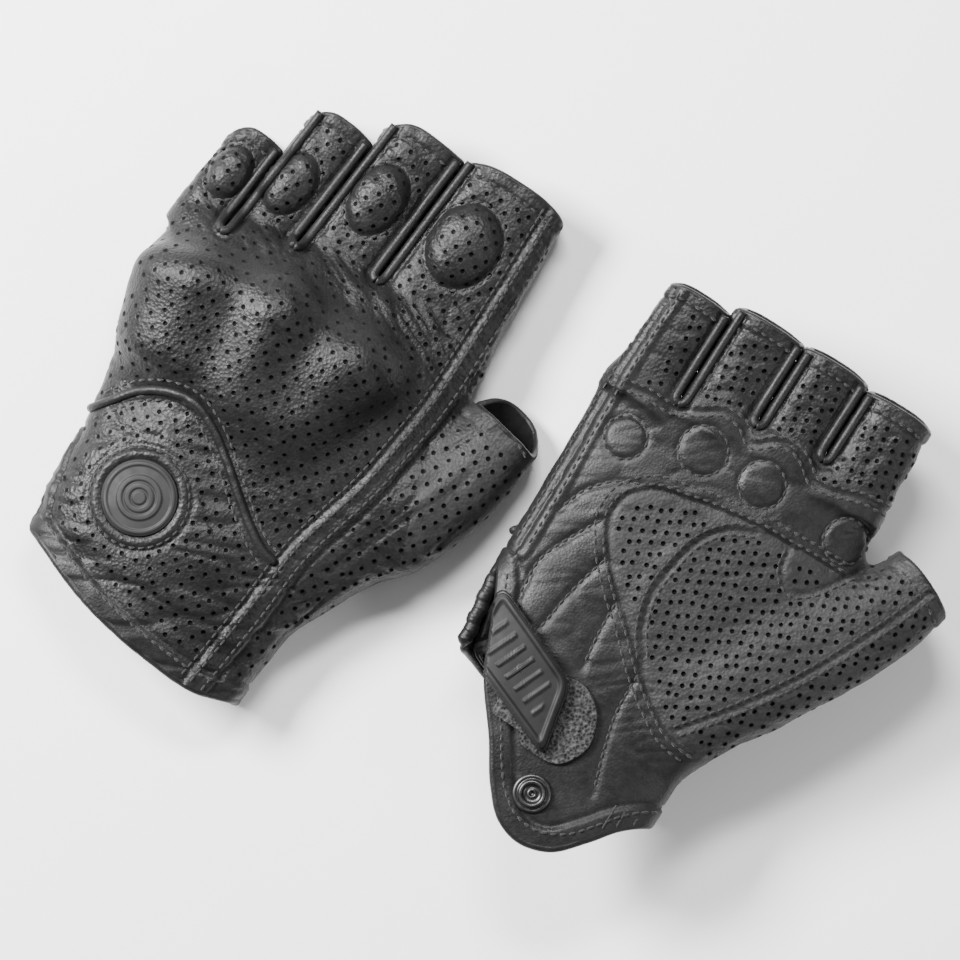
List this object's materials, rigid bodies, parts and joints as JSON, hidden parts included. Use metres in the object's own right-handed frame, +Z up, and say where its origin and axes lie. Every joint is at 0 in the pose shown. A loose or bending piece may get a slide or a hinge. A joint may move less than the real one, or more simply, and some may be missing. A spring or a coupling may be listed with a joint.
{
  "type": "riding gloves",
  "caption": "Fingerless leather riding gloves with domed knuckle armour, one lying back up and one palm up, with bending digits, hook-and-loop wrist straps and press fasteners.",
  "frame": {"origin": "centre of the bounding box of the two gloves, on the surface they lie on", "axes": "+Y from the wrist to the fingers of the glove that lies back up, +X towards that glove's thumb and the other glove, +Z up"},
  "size_m": [0.2766, 0.2054, 0.0489],
  "materials": {
    "back_leather": "grained, perforated, satin",
    "palm_leather": "smooth, semi-gloss",
    "trim_leather": "smooth, satin",
    "lining_cloth": "brushed knit",
    "guard_plastic": "moulded",
    "foam": "soft foam",
    "moulded_rubber": "matt moulded",
    "hook_and_loop": "fuzzy loop",
    "snap_metal": "black lacquered"
  },
  "bodies": {
    "left_hand": {"left_back_panel": "back_leather", "left_cuff_panel": "back_leather", "left_side_strip": "back_leather", "left_palm_panel": "palm_leather", "left_thumb_ball_panel": "palm_leather", "left_finger_base_panel": "back_leather", "left_lining": "lining_cloth", "left_knuckle_guard": "guard_plastic", "left_knuckle_foam": "foam", "left_palm_pads": "foam", "left_cuff_piping": "trim_leather", "left_badge": "moulded_rubber", "left_wrist_binding": "trim_leather", "left_strap_roll": "trim_leather", "left_loop_patch": "hook_and_loop", "left_snap_cap": "snap_metal", "left_snap_stud": "snap_metal"},
    "left_index": {"left_index_stall": "back_leather", "left_index_pad": "back_leather"},
    "left_middle": {"left_middle_stall": "back_leather", "left_middle_pad": "back_leather"},
    "left_ring": {"left_ring_stall": "back_leather", "left_ring_pad": "back_leather"},
    "left_pinky": {"left_pinky_stall": "back_leather", "left_pinky_pad": "back_leather"},
    "left_thumb": {"left_thumb_stall": "back_leather", "left_thumb_side_panel": "back_leather"},
    "left_strap": {"left_strap": "back_leather", "left_strap_cover": "moulded_rubber", "left_hook_patch": "hook_and_loop"},
    "right_hand": {"right_back_panel": "back_leather", "right_cuff_panel": "back_leather", "right_side_strip": "back_leather", "right_palm_panel": "palm_leather", "right_thumb_ball_panel": "palm_leather", "right_finger_base_panel": "back_leather", "right_lining": "lining_cloth", "right_knuckle_guard": "guard_plastic", "right_knuckle_foam": "foam", "right_palm_pads": "foam", "right_cuff_piping": "trim_leather", "right_badge": "moulded_rubber", "right_wrist_binding": "trim_leather", "right_strap_roll": "trim_leather", "right_loop_patch": "hook_and_loop", "right_snap_cap": "snap_metal", "right_snap_socket": "snap_metal"},
    "right_index": {"right_index_stall": "back_leather", "right_index_pad": "back_leather"},
    "right_middle": {"right_middle_stall": "back_leather", "right_middle_pad": "back_leather"},
    "right_ring": {"right_ring_stall": "back_leather", "right_ring_pad": "back_leather"},
    "right_pinky": {"right_pinky_stall": "back_leather", "right_pinky_pad": "back_leather"},
    "right_thumb": {"right_thumb_stall": "back_leather", "right_thumb_side_panel": "back_leather"},
    "right_strap": {"right_strap": "back_leather", "right_strap_cover": "moulded_rubber", "right_hook_patch": "hook_and_loop"}
  },
  "joints": [
    {"name": "left_pinky_bend", "type": "hinge", "parent": "left_hand", "child": "left_pinky", "pos_m": [-0.12876, 0.02286, 0], "axis": [-0.9994, 0.0349, 0], "range_deg": [0, 55]},
    {"name": "left_ring_bend", "type": "hinge", "parent": "left_hand", "child": "left_ring", "pos_m": [-0.10956, 0.02936, 0], "axis": [-0.9997, 0.0262, 0], "range_deg": [0, 55]},
    {"name": "left_middle_bend", "type": "hinge", "parent": "left_hand", "child": "left_middle", "pos_m": [-0.08536, 0.03536, 0], "axis": [-1, 0, 0], "range_deg": [0, 55]},
    {"name": "left_index_bend", "type": "hinge", "parent": "left_hand", "child": "left_index", "pos_m": [-0.05026, 0.03886, 0], "axis": [-1, -0.0087, 0], "range_deg": [0, 55]},
    {"name": "left_thumb_bend", "type": "hinge", "parent": "left_hand", "child": "left_thumb", "pos_m": [-0.01276, -0.00114, 0.0024], "axis": [-0.9903, 0.1392, 0], "range_deg": [0, 35]},
    {"name": "left_strap_swing", "type": "hinge", "parent": "left_hand", "child": "left_strap", "pos_m": [-0.12036, -0.06864, 0.0124], "axis": [0, 1, 0], "range_deg": [0, 120]},
    {"name": "right_pinky_bend", "type": "hinge", "parent": "right_hand", "child": "right_pinky", "pos_m": [0.01701, 0.06305, 0.0455], "axis": [0.9986, 0.0523, 0], "range_deg": [-4, 45]},
    {"name": "right_ring_bend", "type": "hinge", "parent": "right_hand", "child": "right_ring", "pos_m": [0.04044, 0.0692, 0.0455], "axis": [0.9981, 0.061, 0], "range_deg": [-4, 45]},
    {"name": "right_middle_bend", "type": "hinge", "parent": "right_hand", "child": "right_middle", "pos_m": [0.06414, 0.07286, 0.0455], "axis": [0.9981, 0.061, 0], "range_deg": [-4, 45]},
    {"name": "right_index_bend", "type": "hinge", "parent": "right_hand", "child": "right_index", "pos_m": [0.08876, 0.07358, 0.0455], "axis": [0.9969, 0.0785, 0], "range_deg": [-4, 45]},
    {"name": "right_thumb_bend", "type": "hinge", "parent": "right_hand", "child": "right_thumb", "pos_m": [0.11746, 0.03148, 0.0435], "axis": [0.9511, -0.309, 0], "range_deg": [0, 35]},
    {"name": "right_strap_swing", "type": "hinge", "parent": "right_hand", "child": "right_strap", "pos_m": [0.01342, -0.02893, 0.034], "axis": [0.0698, -0.9976, 0], "range_deg": [0, 120]},
    {"name": "right_glove_lift", "type": "slide", "parent": "left_hand", "child": "right_hand", "axis": [0, 0, 1], "range_m": [0, 0.12]}
  ]
}
